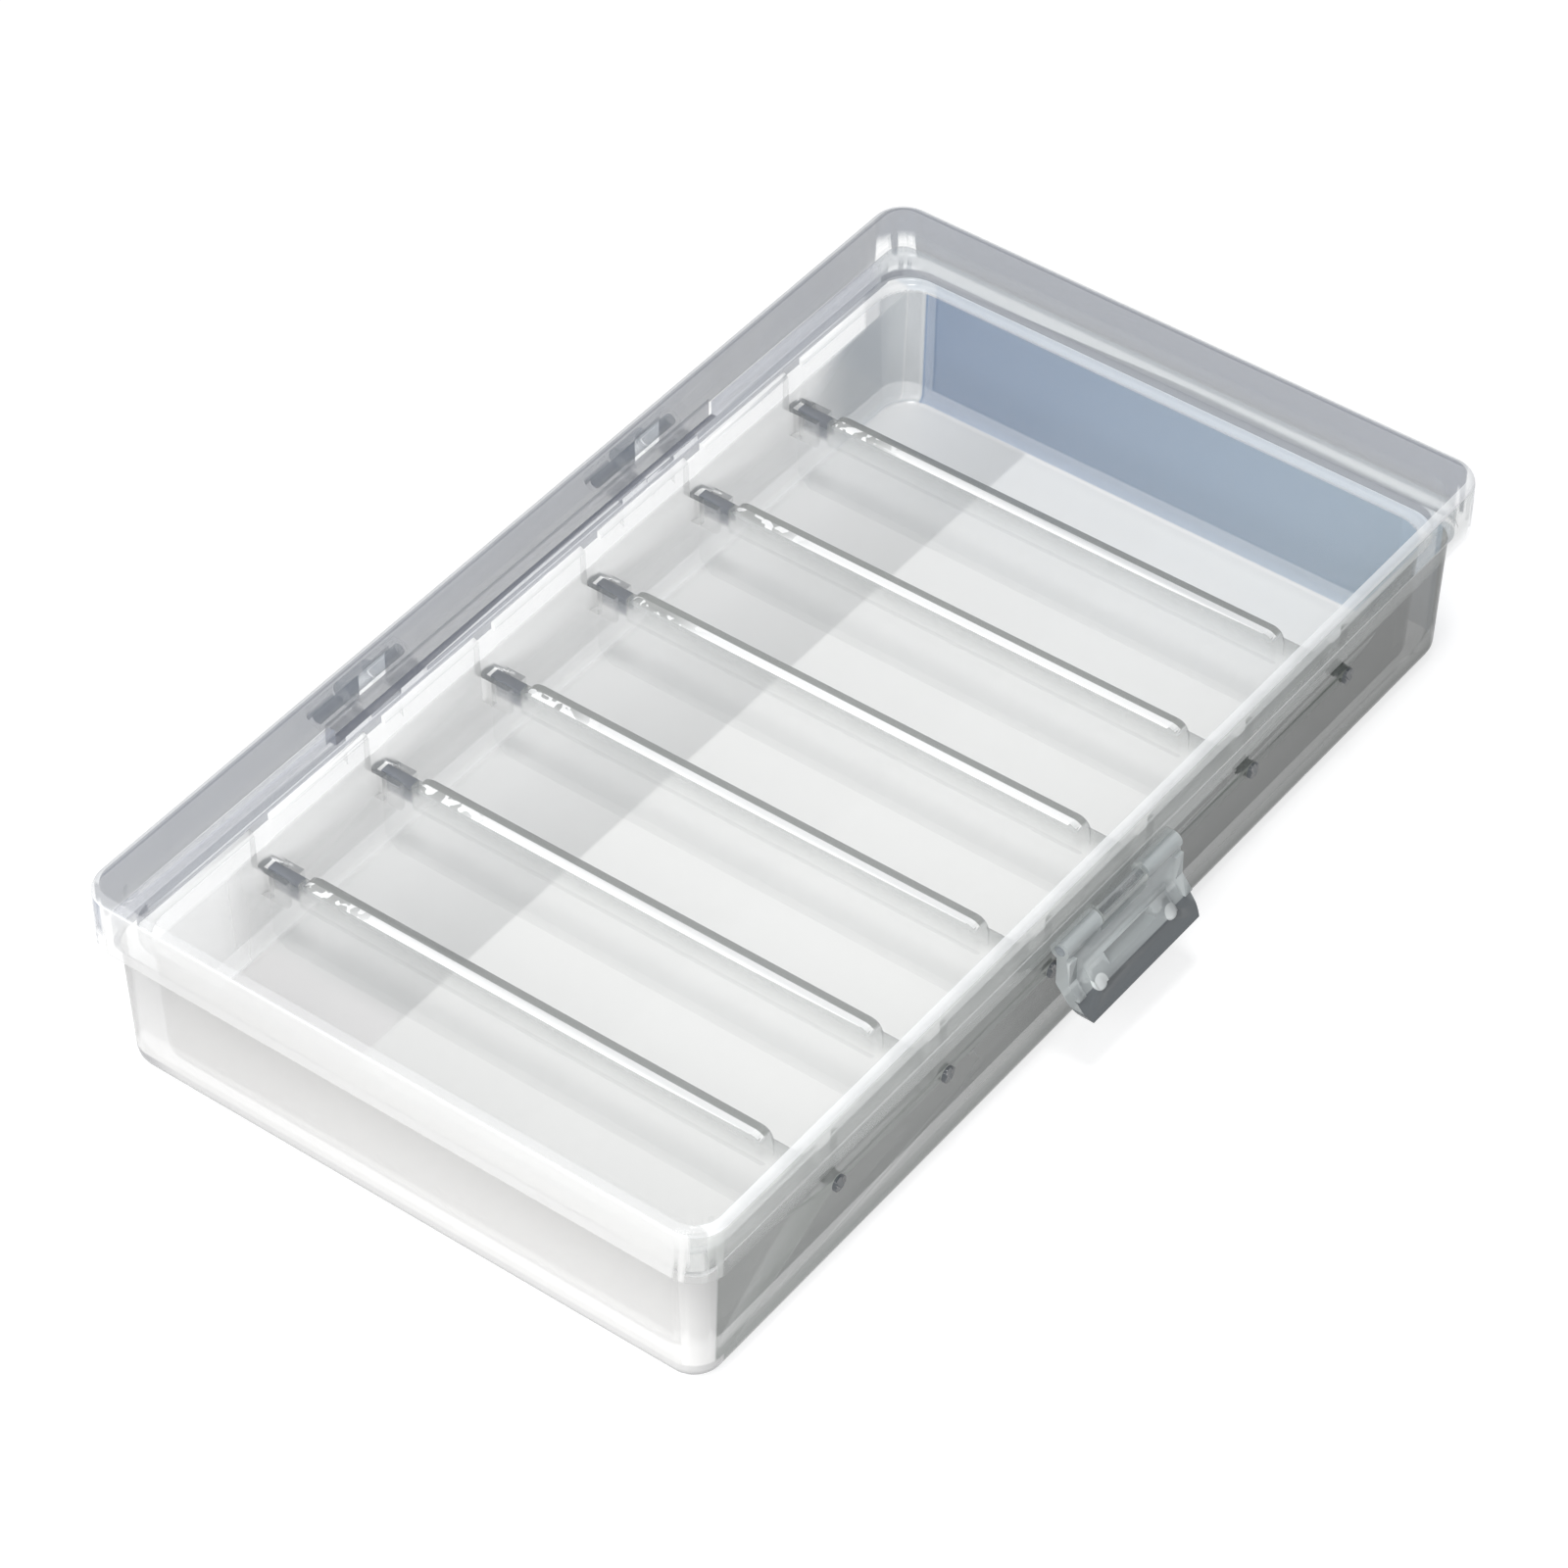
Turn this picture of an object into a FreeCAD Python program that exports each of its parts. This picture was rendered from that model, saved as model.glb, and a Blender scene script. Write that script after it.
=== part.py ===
import FreeCAD, Part
import os

# A clear moulded case: a tapered tray, a skirted lid on two pinned hinges, a latch flap at the
# front and lift-out dividers in guides. Millimetres, +X along the length, -Y the latch side,
# +Z up, with the origin at the centre of the face that the case rests on.

# Closed case
case_length = 160.0
case_width = 91.2
case_height = 29.6

# Lid
skirt_depth = 9.0
lid_plate = 1.6
skirt_wall = 1.6
seat_overlap = 0.95
lid_corner_radius = 4.6
lid_edge_radius = 1.4
lid_inner_bevel = 0.8
skirt_edge_bevel = 0.5

# Tray
lid_clearance = 0.35
rim_rise = 3.4
rim_wall = 1.35
rim_edge_bevel = 0.3
rim_shoulder_drop = 0.6
ledge_radius = 1.0
skirt_overhang = 2.1
tray_draft = 0.5
tray_wall = 2.3
tray_floor = 1.8
tray_corner_radius = 4.0
tray_foot_radius = 3.0
tray_inner_radius = 1.4
cavity_corner_radius = 5.0

# Dividers and their guides
divider_count = 6
divider_pitch = 21.0
divider_height = 13.5
divider_web = 1.4
divider_lip_width = 2.6
divider_lip_height = 4.0
divider_lip_bevel = 0.3
divider_ear_drop = 0.9
divider_front_gap = 6.6
divider_back_gap = 5.0
divider_end_radius = 2.0
divider_foot_chamfer = 1.8
divider_end_clearance = 0.35
guide_clearance = 0.2
guide_wall = 0.8
guide_depth = 4.0
guide_height = 4.0
ledge_notch_depth = 0.9
pip_radius = 1.1
pip_rise = 0.5
pip_height = 14.0

# Hinges
hinge_spacing = 54.0
knuckle_length = 5.0
knuckle_radius = 1.9
knuckle_gap = 0.25
knuckle_setback = 0.4
hinge_pin_radius = 0.8
hinge_arm_height = 5.0
hinge_web_height = 4.5
hinge_notch_drop = 2.4
hinge_notch_margin = 3.0

# Latch
latch_width = 23.5
latch_length = 11.3
latch_flare = 4.4
latch_straight = 6.6
latch_wall = 1.4
latch_corner_radius = 3.6
latch_barrel_radius = 1.3
latch_barrel_gap = 0.3
latch_face_setback = 0.25
latch_pin_radius = 0.7
latch_lug_width = 9.0
latch_lug_gap = 0.3
latch_notch_depth = 1.9
window_width = 9.5
window_height = 1.3
window_drop = 7.1
pad_width = 16.4
pad_height = 3.4
pad_rise = 0.5
knob_spacing = 14.5
knob_radius = 1.3
knob_top_radius = 0.8
knob_rise = 0.5
knob_drop = 8.8
cheek_width = 1.5
cheek_rise = 0.5
cheek_drop = 3.0
cheek_end_drop = 8.4
catch_width = 8.5
catch_height = 1.2
catch_clearance = 0.2

# Fits of the pins
pin_tight = 0.01
pin_running = 0.05

# How far one moulded feature runs into the wall that carries it
root_overlap = 0.6

# Heights and half sizes that several pieces share
skirt_level = case_height - skirt_depth
rim_top = skirt_level + rim_rise
lid_underside = case_height - lid_plate
rim_inset = skirt_wall + lid_clearance
rim_inner_inset = rim_inset + rim_wall
seat_inset = rim_inset + seat_overlap
shoulder_level = skirt_level - rim_shoulder_drop
cavity_inset = skirt_overhang + tray_wall
half_width = case_width / 2
divider_top = tray_floor + divider_height
guide_top = divider_top - divider_ear_drop
guide_slot = divider_web + 2 * guide_clearance

hinge_y = half_width + knuckle_setback + knuckle_radius
hinge_z = skirt_level
hinge_reach = 3 * knuckle_length + 2 * knuckle_gap

latch_y = rim_inset - half_width - latch_barrel_gap - latch_barrel_radius
latch_z = skirt_level - latch_barrel_gap - latch_barrel_radius
latch_outer_y = latch_y - latch_barrel_radius + latch_face_setback

# The flap's flared part: its lower outer corner, its steepness and its inward normal
flap_tip = FreeCAD.Vector(0, -half_width - latch_flare, skirt_level - latch_length)
flap_fall = FreeCAD.Vector(0, flap_tip.y - latch_outer_y, flap_tip.z - skirt_level + latch_straight)
flap_slope = flap_fall.z / flap_fall.y
flap_normal = FreeCAD.Vector(0, -flap_fall.z, flap_fall.y).normalize()


def draft_inset(height):
    """Extra inset of the tapered tray wall at a height above the resting face."""
    return tray_draft * (1 - height / shoulder_level)


def rounded_outline(inset, radius, height):
    """Closed outline with round corners, an inset inside the lid's outer face."""
    half_x = case_length / 2 - inset - radius
    half_y = case_width / 2 - inset - radius
    centres = ((half_x, half_y), (-half_x, half_y), (-half_x, -half_y), (half_x, -half_y))
    arcs = []
    for quarter, (x, y) in enumerate(centres):
        centre = FreeCAD.Vector(x, y, height)
        start = 90 * quarter
        arcs.append(Part.makeCircle(radius, centre, FreeCAD.Vector(0, 0, 1), start, start + 90))
    edges = []
    for quarter, arc in enumerate(arcs):
        following = arcs[(quarter + 1) % len(arcs)]
        edges.append(arc)
        edges.append(Part.makeLine(arc.Vertexes[-1].Point, following.Vertexes[0].Point))
    return Part.Wire(edges)


def upright_block(inset, radius, low, high):
    """Straight-sided block with round corners."""
    face = Part.Face(rounded_outline(inset, radius, low))
    return face.extrude(FreeCAD.Vector(0, 0, high - low))


def tapered_block(low_inset, low, high_inset, high, radius):
    """Block with round upright corners whose flat walls lean out towards the top."""
    low_x = case_length / 2 - low_inset
    low_y = case_width / 2 - low_inset
    high_x = case_length / 2 - high_inset
    high_y = case_width / 2 - high_inset
    wedge = Part.makeWedge(-low_x, low, -low_y, -high_y, -high_x, low_x, high, low_y, high_y, high_x)
    wedge.rotate(FreeCAD.Vector(0, 0, 0), FreeCAD.Vector(1, 0, 0), 90)
    upright = [edge for edge in wedge.Edges if edge.BoundBox.ZLength > (high - low) / 2]
    return wedge.makeFillet(radius, upright)


def edges_at(shape, height):
    """Edges of a shape that lie wholly at one height."""
    level = []
    for edge in shape.Edges:
        box = edge.BoundBox
        if abs(box.ZMin - height) < 1e-4 and abs(box.ZMax - height) < 1e-4:
            level.append(edge)
    return level


def box_between(low, high):
    """Box from its low corner to its high corner."""
    size = [far - near for near, far in zip(low, high)]
    return Part.makeBox(size[0], size[1], size[2], FreeCAD.Vector(*low))


def side_prism(points, low_x, high_x):
    """Outline drawn in Y and Z, pushed along X."""
    corners = [FreeCAD.Vector(low_x, y, z) for y, z in points]
    outline = Part.makePolygon(corners + corners[:1])
    return Part.Face(outline).extrude(FreeCAD.Vector(high_x - low_x, 0, 0))


def x_cylinder(radius, low_x, high_x, y, z):
    """Round bar along X."""
    return Part.makeCylinder(radius, high_x - low_x, FreeCAD.Vector(low_x, y, z), FreeCAD.Vector(1, 0, 0))


def fuse_all(shapes):
    """One solid from touching shapes, with split faces joined again."""
    return shapes[0].multiFuse(shapes[1:]).removeSplitter()


def divider_places():
    """X of each divider, evenly pitched about the middle."""
    first = -divider_pitch * (divider_count - 1) / 2
    return [first + divider_pitch * index for index in range(divider_count)]


def hinge_middles():
    """X of the middle of the left and the right hinge."""
    return [-hinge_spacing / 2, hinge_spacing / 2]


def guide_rails():
    """Short rib pairs on both long walls that hold the ears of each divider."""
    wall_y = half_width - cavity_inset
    deep_y = wall_y - draft_inset(tray_floor) - guide_depth
    rails = []
    for x in divider_places():
        for side in (-1, 1):
            near_x = x + side * guide_slot / 2
            far_x = near_x + side * guide_wall
            low_x, high_x = min(near_x, far_x), max(near_x, far_x)
            bottom = guide_top - guide_height
            rails.append(box_between((low_x, deep_y, bottom), (high_x, wall_y + root_overlap, guide_top)))
            rails.append(box_between((low_x, -wall_y - root_overlap, bottom), (high_x, -deep_y, guide_top)))
    return rails


def ledge_notches():
    """Gaps in the ledge above the guides, through which the dividers drop in."""
    wall_y = half_width - cavity_inset
    half_x = guide_slot / 2 + guide_wall
    notches = []
    for x in divider_places():
        for low_y, high_y in ((0, wall_y + ledge_notch_depth), (-wall_y - ledge_notch_depth, 0)):
            notches.append(box_between((x - half_x, low_y, guide_top), (x + half_x, high_y, skirt_level)))
    return notches


def front_pips():
    """Small round bosses outside the front wall, one opposite each divider."""
    wall_y = skirt_overhang + draft_inset(pip_height) - half_width
    pips = []
    for x in divider_places():
        root = FreeCAD.Vector(x, wall_y + root_overlap, pip_height)
        pips.append(Part.makeCylinder(pip_radius, pip_rise + root_overlap, root, FreeCAD.Vector(0, -1, 0)))
    return pips


def tray_hinge_arms():
    """Outer knuckles of both hinges on gusset arms that grow out of the back wall."""
    root_y = half_width - skirt_overhang - draft_inset(shoulder_level - hinge_arm_height) - root_overlap
    outline = (
        (root_y, shoulder_level - hinge_arm_height),
        (root_y, shoulder_level),
        (hinge_y, shoulder_level),
        (hinge_y, hinge_z - knuckle_radius),
    )
    arms = []
    for middle in hinge_middles():
        for low_x in (middle - hinge_reach / 2, middle + hinge_reach / 2 - knuckle_length):
            high_x = low_x + knuckle_length
            arm = side_prism(outline, low_x, high_x)
            knuckle = x_cylinder(knuckle_radius, low_x, high_x, hinge_y, hinge_z)
            bore = x_cylinder(hinge_pin_radius + pin_tight, low_x, high_x, hinge_y, hinge_z)
            arms.append(arm.fuse(knuckle).cut(bore))
    return arms


def tray_catch():
    """Nose on the front wall that sits behind the latch window, sloped on top as a lead-in."""
    middle_z = skirt_level - window_drop
    low_z = middle_z - catch_height / 2
    high_z = middle_z + catch_height / 2
    root_y = skirt_overhang + draft_inset(low_z) + root_overlap - half_width
    nose_y = flap_inner_y(middle_z) + catch_clearance
    outline = (
        (root_y, low_z),
        (nose_y, low_z),
        (nose_y, middle_z),
        (root_y, high_z + catch_height),
    )
    return side_prism(outline, -catch_width / 2, catch_width / 2)


def ledge_edges(tray):
    """Edges where the ledge turns down into the compartments."""
    reach_x = case_length / 2 - cavity_inset + ledge_radius / 10
    reach_y = half_width - cavity_inset + ledge_radius / 10
    found = []
    for edge in edges_at(tray, skirt_level):
        box = edge.BoundBox
        if max(box.XMax, -box.XMin) < reach_x and max(box.YMax, -box.YMin) < reach_y:
            found.append(edge)
    return found


def make_tray():
    """Tapered tray with a raised rim, a ledge inside it, guides, catch and hinge knuckles."""
    foot_inset = skirt_overhang + tray_draft
    shell = tapered_block(foot_inset, 0, skirt_overhang, shoulder_level, tray_corner_radius)
    shell = shell.makeFillet(tray_foot_radius, edges_at(shell, 0))
    rim_radius = lid_corner_radius - rim_inset
    rim = upright_block(rim_inset, rim_radius, shoulder_level, rim_top)
    rim = rim.makeChamfer(rim_edge_bevel, edges_at(rim, rim_top))
    floor_inset = skirt_overhang + draft_inset(tray_floor) + tray_wall
    cavity = tapered_block(floor_inset, tray_floor, cavity_inset, skirt_level, cavity_corner_radius)
    cavity = cavity.makeFillet(tray_inner_radius, edges_at(cavity, tray_floor))
    rim_opening = upright_block(rim_inner_inset, cavity_corner_radius, skirt_level, rim_top)
    notch_half = hinge_spacing / 2 + hinge_reach / 2 + hinge_notch_margin
    notch_low = (-notch_half, half_width - rim_inner_inset - root_overlap, rim_top - hinge_notch_drop)
    notch = box_between(notch_low, (notch_half, half_width, rim_top))
    tray = shell.fuse(rim).cut(cavity).cut(rim_opening).cut(notch).removeSplitter()
    tray = tray.makeFillet(ledge_radius, ledge_edges(tray))
    tray = tray.cut(Part.makeCompound(ledge_notches()))
    return fuse_all([tray, tray_catch()] + guide_rails() + front_pips() + tray_hinge_arms())


def lid_hinge_knuckles():
    """Middle knuckle of each hinge on a web from the lid's back skirt."""
    root_y = half_width - root_overlap
    outline = (
        (root_y, hinge_z),
        (hinge_y, hinge_z),
        (hinge_y, hinge_z + knuckle_radius),
        (half_width, hinge_z + hinge_web_height),
        (root_y, hinge_z + hinge_web_height),
    )
    knuckles = []
    for middle in hinge_middles():
        low_x = middle - knuckle_length / 2
        high_x = middle + knuckle_length / 2
        web = side_prism(outline, low_x, high_x)
        knuckle = x_cylinder(knuckle_radius, low_x, high_x, hinge_y, hinge_z)
        bore = x_cylinder(hinge_pin_radius + pin_running, low_x, high_x, hinge_y, hinge_z)
        knuckles.append(web.fuse(knuckle).cut(bore))
    return knuckles


def lid_latch_lug():
    """Lug below the middle of the front skirt that holds the latch pin."""
    low_x = -latch_lug_width / 2
    high_x = latch_lug_width / 2
    outline = (
        (-half_width, latch_z),
        (-half_width, skirt_level + root_overlap),
        (skirt_wall - half_width, skirt_level + root_overlap),
        (skirt_wall - half_width, latch_z),
    )
    stem = side_prism(outline, low_x, high_x)
    barrel = x_cylinder(latch_barrel_radius, low_x, high_x, latch_y, latch_z)
    bore = x_cylinder(latch_pin_radius + pin_tight, low_x, high_x, latch_y, latch_z)
    return stem.fuse(barrel).cut(bore)


def make_lid():
    """Flat lid with a skirt; a step inside the skirt sits on the tray's rim."""
    lid = upright_block(0, lid_corner_radius, skirt_level, case_height)
    lid = lid.makeFillet(lid_edge_radius, edges_at(lid, case_height))
    lid = lid.makeChamfer(skirt_edge_bevel, edges_at(lid, skirt_level))
    skirt_hollow = upright_block(skirt_wall, lid_corner_radius - skirt_wall, skirt_level, rim_top)
    upper_hollow = upright_block(seat_inset, lid_corner_radius - skirt_wall, rim_top, lid_underside)
    upper_hollow = upper_hollow.makeChamfer(lid_inner_bevel, edges_at(upper_hollow, lid_underside))
    lid = lid.cut(skirt_hollow).cut(upper_hollow)
    return fuse_all([lid, lid_latch_lug()] + lid_hinge_knuckles())


def flap_profile(rise):
    """Side outline of the flap, straight below the pin and then flared, raised on its outer face."""
    outer_y = latch_outer_y - rise
    inner_y = latch_outer_y + latch_wall
    outer_tip = flap_tip - flap_normal * rise
    inner_tip = flap_tip + flap_normal * latch_wall
    outer_knee_z = outer_tip.z + flap_slope * (outer_y - outer_tip.y)
    inner_knee_z = inner_tip.z + flap_slope * (inner_y - inner_tip.y)
    return (
        (outer_y, latch_z), (outer_y, outer_knee_z), (outer_tip.y, outer_tip.z),
        (inner_tip.y, inner_tip.z), (inner_y, inner_knee_z), (inner_y, latch_z),
    )


def flap_inner_y(height):
    """Y of the flap's inner face at a height on its flared part."""
    inner_tip = flap_tip + flap_normal * latch_wall
    return inner_tip.y + (height - inner_tip.z) / flap_slope


def flap_band(rise, low_x, high_x, low_z, high_z):
    """Raised part of the flap's outer face between two heights."""
    reach = latch_length + latch_flare
    limit = box_between((low_x, -half_width - reach, low_z), (high_x, reach - half_width, high_z))
    return side_prism(flap_profile(rise), low_x, high_x).common(limit)


def flap_knobs():
    """Two round finger knobs on the flared face, one each side of the window."""
    knob_z = skirt_level - knob_drop
    knob_y = flap_tip.y + (knob_z - flap_tip.z) / flap_slope
    outward = flap_normal * -1
    knobs = []
    for x in (-knob_spacing / 2, knob_spacing / 2):
        root = FreeCAD.Vector(x, knob_y, knob_z) - outward * root_overlap
        knobs.append(Part.makeCone(knob_radius, knob_top_radius, knob_rise + root_overlap, root, outward))
    return knobs


def make_latch_flap():
    """Latch flap: two barrels on the pin, a windowed pad, knobs, cheeks and a flared thumb edge."""
    half = latch_width / 2
    plate = side_prism(flap_profile(0), -half, half)
    low_z = skirt_level - latch_length - latch_wall
    reach = latch_wall + latch_flare + latch_barrel_radius
    front = box_between((-half, -half_width - reach, low_z), (half, reach - half_width, case_height))
    lower_corners = []
    for edge in front.Edges:
        box = edge.BoundBox
        if box.YLength > reach and abs(box.ZMin - low_z) < 1e-4:
            lower_corners.append(edge)
    front = front.makeFillet(latch_corner_radius, lower_corners)
    window_z = skirt_level - window_drop
    pad_low = window_z - pad_height / 2
    pad = flap_band(pad_rise, -pad_width / 2, pad_width / 2, pad_low, pad_low + pad_height)
    cheek_top = skirt_level - cheek_drop
    cheek_end = skirt_level - cheek_end_drop
    cheeks = []
    for low_x in (-half, half - cheek_width):
        cheeks.append(flap_band(cheek_rise, low_x, low_x + cheek_width, cheek_end, cheek_top))
    flap = fuse_all([plate, pad] + cheeks + flap_knobs()).common(front)
    half_notch = latch_lug_width / 2 + latch_lug_gap
    notch_z = latch_z - latch_notch_depth
    notch_low = (-half_notch, -half_width - reach, notch_z)
    notch = box_between(notch_low, (half_notch, reach - half_width, case_height))
    barrel = x_cylinder(latch_barrel_radius, -half, half, latch_y, latch_z)
    bore = x_cylinder(latch_pin_radius + pin_running, -half, half, latch_y, latch_z)
    window_low = (-window_width / 2, -half_width - reach, window_z - window_height / 2)
    window_high = (window_width / 2, reach - half_width, window_z + window_height / 2)
    return flap.fuse(barrel).cut(notch).cut(bore).cut(box_between(window_low, window_high)).removeSplitter()


def make_divider(x):
    """Lift-out wall: a thin web with lowered ears in the guides and a thicker rounded lip on top."""
    top_half = half_width - cavity_inset - divider_end_clearance
    foot_half = top_half - draft_inset(tray_floor)
    step = divider_foot_chamfer
    outline = (
        (-foot_half + step, tray_floor), (foot_half - step, tray_floor),
        (foot_half, tray_floor + step), (foot_half, guide_top),
        (-foot_half, guide_top), (-foot_half, tray_floor + step),
    )
    web = side_prism(outline, x - divider_web / 2, x + divider_web / 2)
    lip_low = (x - divider_lip_width / 2, divider_front_gap - foot_half, divider_top - divider_lip_height)
    lip = box_between(lip_low, (x + divider_lip_width / 2, foot_half - divider_back_gap, divider_top))
    corners = [edge for edge in edges_at(lip, divider_top) if edge.BoundBox.XLength > divider_lip_bevel]
    lip = lip.makeFillet(divider_end_radius, corners)
    crest = []
    for edge in lip.Edges:
        box = edge.BoundBox
        if box.ZMax > divider_top - 1e-4 and box.XLength < 1e-4 and box.YLength > 1e-4:
            crest.append(edge)
    lip = lip.makeChamfer(divider_lip_bevel, crest)
    return fuse_all([web, lip])


def make_hinge_pin(middle):
    """Straight pin through the three knuckles of one hinge."""
    return x_cylinder(hinge_pin_radius, middle - hinge_reach / 2, middle + hinge_reach / 2, hinge_y, hinge_z)


def make_latch_pin():
    """Straight pin through the lid's lug and both barrels of the flap."""
    return x_cylinder(latch_pin_radius, -latch_width / 2, latch_width / 2, latch_y, latch_z)


os.makedirs("parts", exist_ok=True)
make_tray().exportStep("parts/base_tray.step")
make_lid().exportStep("parts/lid.step")
make_latch_flap().exportStep("parts/latch_flap.step")
make_latch_pin().exportStep("parts/latch_pin.step")
left_middle, right_middle = hinge_middles()
make_hinge_pin(left_middle).exportStep("parts/hinge_pin_left.step")
make_hinge_pin(right_middle).exportStep("parts/hinge_pin_right.step")
for number, place in enumerate(divider_places(), start=1):
    make_divider(place).exportStep(f"parts/divider_{number}.step")
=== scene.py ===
import math
import bpy
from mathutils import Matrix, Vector


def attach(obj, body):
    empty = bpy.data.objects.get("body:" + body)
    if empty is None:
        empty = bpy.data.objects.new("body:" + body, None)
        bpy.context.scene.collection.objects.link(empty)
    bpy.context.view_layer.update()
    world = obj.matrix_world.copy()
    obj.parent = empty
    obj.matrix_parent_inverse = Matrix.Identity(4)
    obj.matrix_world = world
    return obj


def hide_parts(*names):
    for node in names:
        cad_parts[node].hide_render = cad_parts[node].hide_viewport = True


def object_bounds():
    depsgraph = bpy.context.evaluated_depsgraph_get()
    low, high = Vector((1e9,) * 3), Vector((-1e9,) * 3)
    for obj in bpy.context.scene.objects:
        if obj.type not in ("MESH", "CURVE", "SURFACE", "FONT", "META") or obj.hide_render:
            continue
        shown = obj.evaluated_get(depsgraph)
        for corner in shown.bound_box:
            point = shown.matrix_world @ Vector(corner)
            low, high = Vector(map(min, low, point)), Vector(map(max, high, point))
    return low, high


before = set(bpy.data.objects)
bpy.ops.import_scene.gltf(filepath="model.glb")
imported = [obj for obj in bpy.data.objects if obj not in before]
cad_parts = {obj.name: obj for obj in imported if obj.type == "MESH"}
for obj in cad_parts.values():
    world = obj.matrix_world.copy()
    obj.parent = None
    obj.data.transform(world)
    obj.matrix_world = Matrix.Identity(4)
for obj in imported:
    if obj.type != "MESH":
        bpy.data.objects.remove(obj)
cad_low, cad_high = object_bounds()


# Base tray: one clear injection moulding with tapered walls, a raised rim that the lid sits on,
# guides for the divider ends, a catch nose at the front and hinge knuckles at the back.
class Socket:
    """A shader value that adds nodes when it is used in an expression."""

    def __init__(self, tree, socket):
        self.tree = tree
        self.socket = socket

    def node(self, kind, settings=None, output=0, **inputs):
        """Adds a node of a kind, with its settings and then its inputs, and gives one of its outputs."""
        made = self.tree.nodes.new(kind)
        for name, value in (settings or {}).items():
            setattr(made, name, value)
        for name, value in inputs.items():
            place = int(name[1:]) if name[0] == "_" else name.replace("_", " ")
            if isinstance(value, Socket):
                self.tree.links.new(value.socket, made.inputs[place])
            else:
                made.inputs[place].default_value = value
        return Socket(self.tree, made.outputs[output])

    def twin(self, name):
        """Another output of the node that this value comes from."""
        return Socket(self.tree, self.socket.node.outputs[name])

    def math(self, operation, first, second):
        return self.node("ShaderNodeMath", {"operation": operation}, _0=first, _1=second)

    def __add__(self, other):
        return self.math("ADD", self, other)

    __radd__ = __add__

    def __mul__(self, other):
        return self.math("MULTIPLY", self, other)

    __rmul__ = __mul__

    def __sub__(self, other):
        return self.math("SUBTRACT", self, other)

    def __rsub__(self, other):
        return self.math("SUBTRACT", other, self)

    def __abs__(self):
        return self.math("ABSOLUTE", self, 0)

    def past(self, low, high):
        """0 below low, 1 above high and smooth between them."""
        return self.node("ShaderNodeMapRange", {"interpolation_type": "SMOOTHSTEP"}, Value=self,
                         From_Min=low, From_Max=high)

    def before(self, low, high):
        """1 below low, 0 above high and smooth between them."""
        return 1 - self.past(low, high)

    def between(self, low, high, soft):
        """1 from low to high, with a soft edge outside both."""
        return self.past(low - soft, low) * self.before(high, high + soft)

    def either(self, other):
        """The larger of two values."""
        return self.math("MAXIMUM", self, other)

    def blend(self, off, on):
        """A colour that goes from off to on as this value goes from 0 to 1."""
        off = off if isinstance(off, Socket) else (*off, 1)
        on = on if isinstance(on, Socket) else (*on, 1)
        return self.node("ShaderNodeMix", {"data_type": "RGBA"}, 2, _0=self, _6=off, _7=on)


class Plastic:
    """Moulded clear plastic whose tint and density, the share of light it stops, change over the piece."""

    def __init__(self, name, roughness, tint, density):
        self.material = bpy.data.materials.new(name)
        self.material.use_nodes = True
        tree = self.material.node_tree
        self.shader = tree.nodes["Principled BSDF"]
        self.shader.inputs["IOR"].default_value = 1.49
        self.shader.inputs["Roughness"].default_value = roughness
        self.tint = tint
        self.density = density
        start = Socket(tree, None)
        self.place = start.node("ShaderNodeTexCoord", output=3)
        facing = self.place.twin("Normal")
        across = start.node("ShaderNodeSeparateXYZ", Vector=self.place)
        self.x = across * 1000
        self.y = across.twin("Y") * 1000
        self.z = across.twin("Z") * 1000
        self.up = start.node("ShaderNodeSeparateXYZ", output=2, Vector=facing)
        self.edge_on = start.node("ShaderNodeLayerWeight", output=1, Blend=0.5)

    def colour(self, mask, tint):
        """Lays a tint over the part of the surface where the mask is 1."""
        self.tint = mask.blend(self.tint, tint)

    def thicken(self, mask, density):
        """Adds to the density where the mask is 1."""
        self.density = self.density + density * mask

    def coat(self, mask, tint, density):
        self.colour(mask, tint)
        self.thicken(mask, density)

    def finish(self, most):
        """Links the tint and the density, which stays below a limit, and gives the material."""
        tree = self.material.node_tree
        density = self.density.math("MINIMUM", self.density, most)
        tree.links.new(self.tint.socket, self.shader.inputs["Base Color"])
        tree.links.new(density.socket, self.shader.inputs["Alpha"])
        return self.material


def moulded(node, name, body, material):
    """A merged, smooth-shaded copy of a CAD node that takes its place."""
    bpy.ops.object.select_all(action="DESELECT")
    piece = bpy.data.objects.new(name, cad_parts[node].data.copy())
    bpy.context.collection.objects.link(piece)
    bpy.context.view_layer.objects.active = piece
    piece.select_set(True)
    bpy.ops.object.mode_set(mode="EDIT")
    bpy.ops.mesh.select_all(action="SELECT")
    bpy.ops.mesh.remove_doubles(threshold=1e-6)
    bpy.ops.object.mode_set(mode="OBJECT")
    bpy.ops.object.shade_smooth_by_angle(angle=math.radians(25))
    piece.data.materials.clear()
    piece.data.materials.append(material)
    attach(piece, body)
    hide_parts(node)


# Faces and levels of the tray in millimetres: the inner end and side faces, the outer side face,
# the floor, the top of the rounded foot, the ledge, the guides, the pips and the dividers
end_face = 75.6
side_face = 41.2
outer_side = 43.5
floor_level = 1.8
foot_top = 3.0
ledge_level = 20.6
guide_top = 14.4
guide_half_width = 1.7
pip_level = 14.0
divider_pitch = 21
last_divider = 2.5 * divider_pitch

# Where the shades on the tray start and end
back_floor = 20
far_shade_start = 70
far_shade_full = 74
slant_top = 17.5
slant_slope = 1.6

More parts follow.
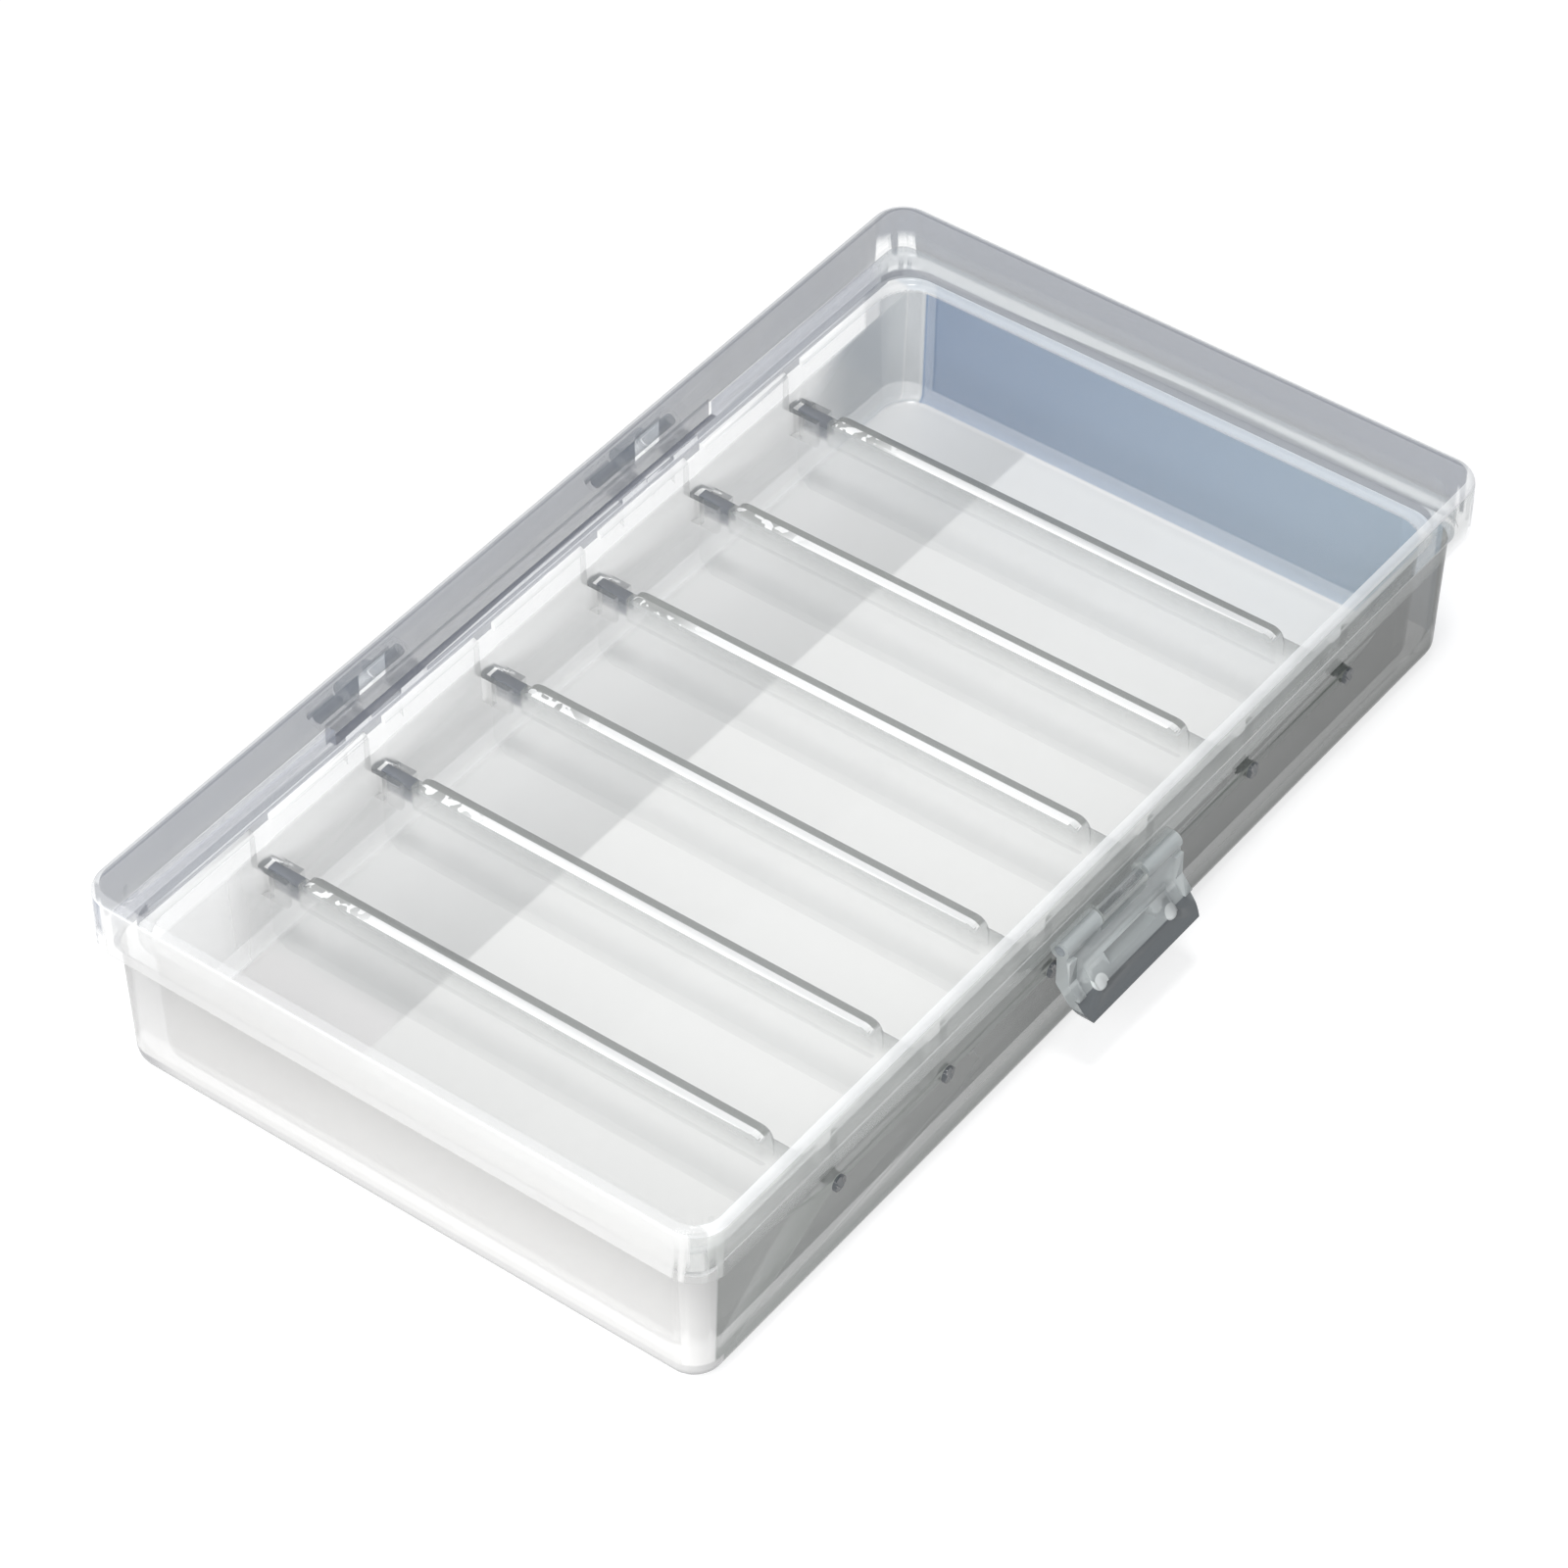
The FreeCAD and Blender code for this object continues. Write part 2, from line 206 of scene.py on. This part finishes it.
tray_clear = Plastic("tray_clear", 0.16, (0.82, 0.82, 0.81), 0.14)
x, y, z, up = tray_clear.x, tray_clear.y, tray_clear.z, tray_clear.up
below_ledge = z.before(ledge_level - 0.9, ledge_level - 0.5)
wall_height = z.between(floor_level + 0.3, ledge_level - 1, 0.2)
nearness = 0.5 - 0.0067 * x
far_wall = x.past(end_face - 1.8, end_face - 1.6) * wall_height
far_wall = far_wall * y.between(0.2 - side_face, side_face - 4.2, 0.4)

# Tray floor: painted shade makes it greyer at the back, and painted light makes it paler again in the
# compartment at the near end
floor_top = up.past(0.7, 0.9) * z.between(floor_level - 0.3, floor_level + 1.6, 0.1) * (1 - far_wall)
floor_shade_tint = y.past(back_floor, side_face - 1.2).blend((0.64, 0.64, 0.63), (0.8, 0.8, 0.79))
floor_shade_tint = x.before(-last_divider - 3.5, 0.5 - last_divider).blend(floor_shade_tint, (0.86, 0.84, 0.83))
tray_clear.coat(floor_top, (0.92, 0.915, 0.89), 0.5)
tray_clear.coat(floor_top * y.past(back_floor - 0.4, back_floor + 0.2), floor_shade_tint, 0.15)

# Back wall: painted shade up to a slanting line below the ledge, darker towards the far corner and lighter
# towards the near end
slant = z + (y - (side_face - 0.2)) * slant_slope
back_wall_shade = y.between(side_face - 1.6, side_face + 2.4, 0.4) * z.past(floor_level + 0.1, floor_level + 0.4)
back_wall_shade = back_wall_shade * slant.before(slant_top - 0.2, slant_top + 0.2)
back_far_shade = back_wall_shade * x.past(last_divider + 5.5, last_divider + 11.5)
far_corner_shade = x.past(far_shade_start, far_shade_start + 1) * y.past(side_face - 4.4, side_face - 4.0)
far_corner_shade = far_corner_shade * wall_height * (1 - back_wall_shade)
tray_clear.coat(back_wall_shade, (0.76, 0.76, 0.75), 0.3)
tray_clear.colour(back_far_shade.either(far_corner_shade), (0.5, 0.53, 0.55))
tray_clear.thicken(back_far_shade, 0.2)
tray_clear.thicken(far_corner_shade, 0.35)
tray_clear.thicken(back_wall_shade * x.before(-last_divider - 7.5, -last_divider - 1.5), -0.2)

# Front wall: painted shade makes it dark grey, denser near its foot, and painted light makes it paler
# towards the near end
front_foot = y.before(2.6 - side_face, 3.0 - side_face) * z.before(foot_top, foot_top + 0.4)
front_foot = front_foot * up.before(-0.3, -0.1)
front_wall = front_foot.either(y.before(0.6 - side_face, 1.0 - side_face) * below_ledge)
front_shade_tint = nearness.blend((0.1, 0.115, 0.1), (0.4, 0.42, 0.4))
tray_clear.coat(front_wall, front_shade_tint, 0.76 - 0.18 * nearness)
tray_clear.thicken(front_wall * z.before(foot_top + 2, foot_top + 2.6), 0.12)

# End walls: painted light makes the near one white, lighter towards the top, and painted shade makes the
# far one blue
near_wall = x.before(0.8 - end_face, 1.2 - end_face) * below_ledge
near_wall_light_tint = z.past(foot_top, ledge_level - 3.6).blend((0.95, 0.94, 0.92), (1, 0.99, 0.97))
far_wall_shade_tint = (0.48 - 0.0128 * y).blend((0.13, 0.23, 0.4), (0.3, 0.42, 0.54))
tray_clear.coat(near_wall, near_wall_light_tint, 0.62)
tray_clear.coat(far_wall, far_wall_shade_tint, 0.5)

# Rim: painted shade makes it grey along the back and the far end, darkest on the lowered stretch between
# the hinges
rim = z.past(ledge_level + 0.05, ledge_level + 0.15)
back_side = y.between(side_face - 0.2, side_face + 2.5, 0.1)
far_end = x.between(end_face - 0.6, end_face + 2.6, 0.1)
rim_back = rim * back_side.either(far_end)
rim_low = rim_back * up.past(0.5, 0.8) * z.before(ledge_level + 1.4, ledge_level + 1.9)
rim_shade_tint = x.past(far_shade_start, far_shade_full).blend((0.4, 0.43, 0.52), (0.62, 0.66, 0.68))
tray_clear.colour(rim, (0.85, 0.87, 0.86))
tray_clear.coat(rim_back, rim_shade_tint, 0.26)
tray_clear.coat(rim_low, (0.1, 0.11, 0.15), 0.45)

# Ledge: a painted highlight makes it white, with painted shade making it bluish at the far end and a dark
# line where it meets the back of the rim
ledge = up.past(0.2, 0.45) * z.between(ledge_level - 1.1, ledge_level + 0.1, 0.1)
tray_clear.coat(ledge, (0.99, 0.99, 0.98), 0.5)
tray_clear.colour(ledge * x.past(far_shade_full, far_shade_full + 1), (0.7, 0.75, 0.8))
tray_clear.colour(ledge * y.past(side_face + 0.75, side_face + 0.85), (0.22, 0.24, 0.28))

# Dark marks of painted shade: the tops of the guides at the back and the pips on the front
across = abs(x.math("FLOORED_MODULO", x + 3 * divider_pitch, divider_pitch) - divider_pitch / 2)
guide = across.before(guide_half_width + 0.02, guide_half_width + 0.1) * up.past(0.7, 0.9)
guide = guide * z.between(guide_top - 0.2, guide_top + 0.2, 0.1) * y.past(side_face - 5.2, side_face - 5.0)
pip = y.between(-outer_side - 1.4, -outer_side, 0.05) * z.between(pip_level - 1.4, pip_level + 1.4, 0.1)
tray_clear.coat(guide.either(pip), (0.09, 0.1, 0.11), 0.4)

# Foot: a dark line of painted shade all round, and a grey band of painted shade at the near end that
# darkens to its back corner
foot_line = tray_clear.edge_on.past(0.5, 0.8) * up.before(-0.05, 0.05)
foot_line = foot_line * z.before(floor_level - 0.3, floor_level + 0.1)
near_foot = x.before(2.1 - end_face, 2.6 - end_face) * up.before(0.05, 0.15)
near_foot = near_foot * z.before(foot_top + 0.2, foot_top + 0.7)
foot_shade_tint = z.past(floor_level - 0.4, floor_level + 0.8).blend((0.36, 0.36, 0.36), (0.7, 0.695, 0.685))
foot_shade_tint = y.past(side_face - 7.2, side_face - 0.2).blend(foot_shade_tint, (0.4, 0.4, 0.41))
tray_clear.coat(foot_line, (0.25, 0.27, 0.28), 0.5)
tray_clear.coat(near_foot, foot_shade_tint, 0.2)

# Hinge arms: clearer than the rest
tray_clear.thicken(y.past(outer_side + 0.6, outer_side + 0.7), -0.11)
moulded("base_tray", "tray", "base", tray_clear.finish(0.95))


# Hinge pins: two plain clear rods, cut to length and pressed into the tray's outer knuckles,
# on which the lid's middle knuckles turn.
pin_clear = Plastic("pin_clear", 0.12, (0.62, 0.66, 0.7), 0.2)
# Painted shade: the rods are darker where they are seen edge-on
pin_clear.coat(pin_clear.edge_on, (0.45, 0.5, 0.55), 0.3)
pin_finish = pin_clear.finish(1)
moulded("hinge_pin_left", "hinge_rod_left", "base", pin_finish)
moulded("hinge_pin_right", "hinge_rod_right", "base", pin_finish)


# Lid: a flat clear moulding with a skirt all round, a step inside the skirt that sits on the
# tray's rim, knuckles at the back and a lug for the latch pin at the front.
half_length = cad_high.x * 1000
lid_top = cad_high.z * 1000
half_width = 45.6
corner_radius = 4.6
skirt_level = 20.6
skirt_inner_side = 44.0
rim_top = 24.0
notch_half_length = 37.75

lid_clear = Plastic("lid_clear", 0.1, (0.9, 0.92, 0.9), 0.05)
x, y, z, up = lid_clear.x, lid_clear.y, lid_clear.z, lid_clear.up
skirt = abs(up).before(0.3, 0.6)
knuckle = y.past(half_width + 0.05, half_width + 0.1)

# Squared distance outside the centre lines of the rounded corners, towards the far end and the back
past_x = x.either(half_length - corner_radius) - (half_length - corner_radius)
past_y = y.either(half_width - corner_radius) - (half_width - corner_radius)
reach = past_x * past_x + past_y * past_y

# Skirt: painted shade makes it grey at the front and darker at the back, the far end and the knuckles, and
# painted light makes it milky at the near end
lid_front = skirt * y.before(0.8 - half_width, 1.0 - half_width)
lid_near = skirt * x.before(0.5 - half_length, 0.7 - half_length)
lid_back = skirt * reach.past(0.3, 0.8) * (1 - knuckle)
lid_rear = skirt * reach.past(18, 19) * (1 - knuckle)
back_gap = abs(x).before(notch_half_length - 0.15, notch_half_length + 0.05)
back_gap = back_gap * y.between(skirt_inner_side - 0.1, skirt_inner_side + 0.1, 0.05)
back_gap = back_gap * z.before(rim_top - 0.1, rim_top)
lid_front_shade_tint = (0.5 - 0.0063 * x).blend((0.6, 0.64, 0.61), (0.88, 0.9, 0.87))
lid_back_shade_tint = x.past(far_shade_start, far_shade_full).blend((0.4, 0.43, 0.5), (0.6, 0.64, 0.66))
lid_clear.thicken(skirt, 0.12)
lid_clear.coat(lid_front, lid_front_shade_tint, 0.25)
lid_clear.coat(lid_near, (0.86, 0.855, 0.84), 0.45)
lid_clear.coat(lid_back, lid_back_shade_tint, 0.1)
lid_clear.coat(lid_rear, (0.08, 0.11, 0.17), 0.38)
lid_clear.coat(back_gap, (0.3, 0.33, 0.42), 0.7)
lid_clear.coat(knuckle, (0.42, 0.48, 0.54), 0.1)

# Edges: a painted highlight on the rounded upper edge, fainter at the near end, a painted white highlight
# on the lower edge at the front, a dark line of painted shade inside the upper edge at the back and the
# far end, and a thin dark outline of painted shade
round_edge_highlight = up.past(0.25, 0.3) * z.between(lid_top - 1.5, lid_top - 0.06, 0.03)
lower_edge_highlight = up.before(-0.6, -0.4) * z.before(skirt_level + 0.4, skirt_level + 0.6)
lower_edge_highlight = lower_edge_highlight * y.before(5.6 - half_width, 6.6 - half_width)
edge_shade_line = z.past(lid_top - 0.03, lid_top - 0.01) * reach.between(8.7, 10.2, 0.5)
lid_clear.coat(round_edge_highlight, (0.97, 0.98, 0.98), 0.55)
lid_clear.thicken(round_edge_highlight * x.before(1.8 - half_length, 2.4 - half_length), -0.4)
lid_clear.coat(lower_edge_highlight, (0.99, 0.99, 0.98), 0.6)
lid_clear.coat(edge_shade_line, (0.2, 0.22, 0.26), 0.35)
lid_clear.coat(round_edge_highlight * lid_clear.edge_on.past(0.78, 0.9), (0.12, 0.13, 0.15), 0.3)
moulded("lid", "lid_cover", "lid_body", lid_clear.finish(0.9))


# Latch: a clear moulded thumb flap with a window, two knobs and a flared edge. Its barrels turn on
# a rod that is pressed into the lid's lug.
thumb_level = 12.0
flap_half_width = 11.7
knob_half_spacing = 7.25
knob_level = 12.08
knob_squash = 1.25

latch_clear = Plastic("latch_clear", 0.18, (0.66, 0.7, 0.7), 0.5)
x, z = abs(latch_clear.x), latch_clear.z
thumb = z.before(thumb_level - 0.2, thumb_level) * x.before(flap_half_width - 0.1, flap_half_width)
knob_x = x - knob_half_spacing
knob_z = (z - knob_level) * knob_squash
knob = (knob_x * knob_x + knob_z * knob_z).before(1.1, 1.5)
# Painted shade makes the lower thumb edge dark, and painted highlights make the two knobs pale
latch_clear.colour(thumb, (0.12, 0.135, 0.145))
latch_clear.colour(knob, (0.8, 0.83, 0.82))
latch_clear.thicken(thumb.either(knob), 0.35)
moulded("latch_flap", "thumb_flap", "latch_body", latch_clear.finish(1))
moulded("latch_pin", "latch_rod", "lid_body", pin_finish)


# Dividers: six clear moulded walls with a thicker bevelled lip along the top and an ear at each end
# that slides in the tray's guides.
divider_top = 15.3
lip_level = 11.3
ear_start = 35.5

divider_clear = Plastic("divider_clear", 0.12, (0.86, 0.88, 0.87), 0.06)
x, y, z, up = divider_clear.x, divider_clear.y, divider_clear.z, divider_clear.up
across = x.math("FLOORED_MODULO", x + 3 * divider_pitch, divider_pitch) - divider_pitch / 2

# Lip: painted shade makes it grey with a dark top, a painted highlight makes a white crest that breaks up
# towards the back, and painted shade makes the ear dark there
lip = z.past(lip_level - 0.1, lip_level + 0.1)
top = up.past(0.5, 0.6) * z.past(divider_top - 0.6, divider_top - 0.4)
speck = divider_clear.place.node("ShaderNodeTexNoise", Vector=divider_clear.place, Scale=700.0, Detail=1.0)
broken = y.past(ear_start - 13.5, ear_start - 5.5) * speck.before(0.5, 0.54)
crest_highlight = top * across.before(-0.15, 0.05) * (1 - 0.8 * broken)
ear = y.past(ear_start, ear_start + 0.3) * z.past(lip_level - 0.3, lip_level + 0.7)
divider_clear.colour(lip, (0.42, 0.44, 0.43))
divider_clear.thicken(lip * z.past(lip_level - 0.3, divider_top + 0.3), 0.45)
divider_clear.coat(top, (0.22, 0.23, 0.22), 0.35)
divider_clear.coat(crest_highlight, (0.99, 0.99, 0.98), 0.15)
divider_clear.coat(ear, (0.14, 0.16, 0.2), 0.5)
divider_finish = divider_clear.finish(1)
for number in range(1, 7):
    body = f"divider_{number}_body"
    moulded(f"divider_{number}", f"partition_{number}", body, divider_finish)


# Floor: a plain white studio sheet that reads as white and keeps the box's shadow.
bpy.ops.object.select_all(action="DESELECT")
bpy.ops.mesh.primitive_plane_add(size=6)
floor = bpy.context.object
floor.name = "studio_floor"
floor_paint = bpy.data.materials.new("floor_paint")
floor_paint.use_nodes = True
floor_shader = floor_paint.node_tree.nodes["Principled BSDF"]
floor_shader.inputs["Base Color"].default_value = (0.45, 0.45, 0.45, 1)
floor_shader.inputs["Roughness"].default_value = 0.9
floor_shader.inputs["Specular IOR Level"].default_value = 0


def looked_at(tree):
    """1 for what the camera sees, straight, mirrored or through clear plastic."""
    seen = Socket(tree, None).node("ShaderNodeLightPath")
    return seen.either(seen.twin("Is Glossy Ray")).either(seen.twin("Is Transmission Ray"))


floor_glow = looked_at(floor_paint.node_tree).blend((0, 0, 0), (0.7, 0.7, 0.7))
floor_paint.node_tree.links.new(floor_glow.socket, floor_shader.inputs["Emission Color"])
floor_shader.inputs["Emission Strength"].default_value = 1
floor.data.materials.append(floor_paint)


# Light: a key light from above, a soft light at the left end and a pale cool room.
key_data = bpy.data.lights.new("key", "SUN")
key_data.energy = 1.1
key_data.angle = math.radians(12)
key = bpy.data.objects.new("key", key_data)
key.rotation_euler = (math.radians(3), math.radians(-8), 0)
bpy.context.collection.objects.link(key)

soft_data = bpy.data.lights.new("soft", "AREA")
soft_data.energy = 1.65
soft_data.size = 0.3
soft = bpy.data.objects.new("soft", soft_data)
soft.location = (-0.4, -0.1, 0.24)
soft.rotation_mode = "QUATERNION"
soft.rotation_quaternion = soft.location.to_track_quat("Z", "Y")
bpy.context.collection.objects.link(soft)

room = bpy.data.worlds.new("room")
room.use_nodes = True
bpy.context.scene.world = room
room_colour = looked_at(room.node_tree).blend((0.34, 0.35, 0.37), (1, 1, 1))
room.node_tree.links.new(room_colour.socket, room.node_tree.nodes["Background"].inputs["Color"])


# Camera: at the photograph's angle, above the latch side and the left end.
turn = math.radians(-53.02)
lift = math.radians(44.06)
camera_reach = 0.6858
aim = Vector((-0.01741, -0.00946, cad_high.z))
back = Vector((math.sin(turn) * math.cos(lift), -math.cos(turn) * math.cos(lift), math.sin(lift)))
camera_data = bpy.data.cameras.new("camera")
camera_data.lens = 134.66
camera_data.sensor_width = 36
camera = bpy.data.objects.new("camera", camera_data)
camera.location = aim + back * camera_reach
camera.rotation_mode = "QUATERNION"
camera.rotation_quaternion = back.to_track_quat("Z", "Y")
bpy.context.collection.objects.link(camera)
bpy.context.scene.camera = camera

scene = bpy.context.scene
scene.view_settings.view_transform = "Standard"
scene.cycles.max_bounces = 32
scene.cycles.transmission_bounces = 24
scene.cycles.transparent_max_bounces = 48
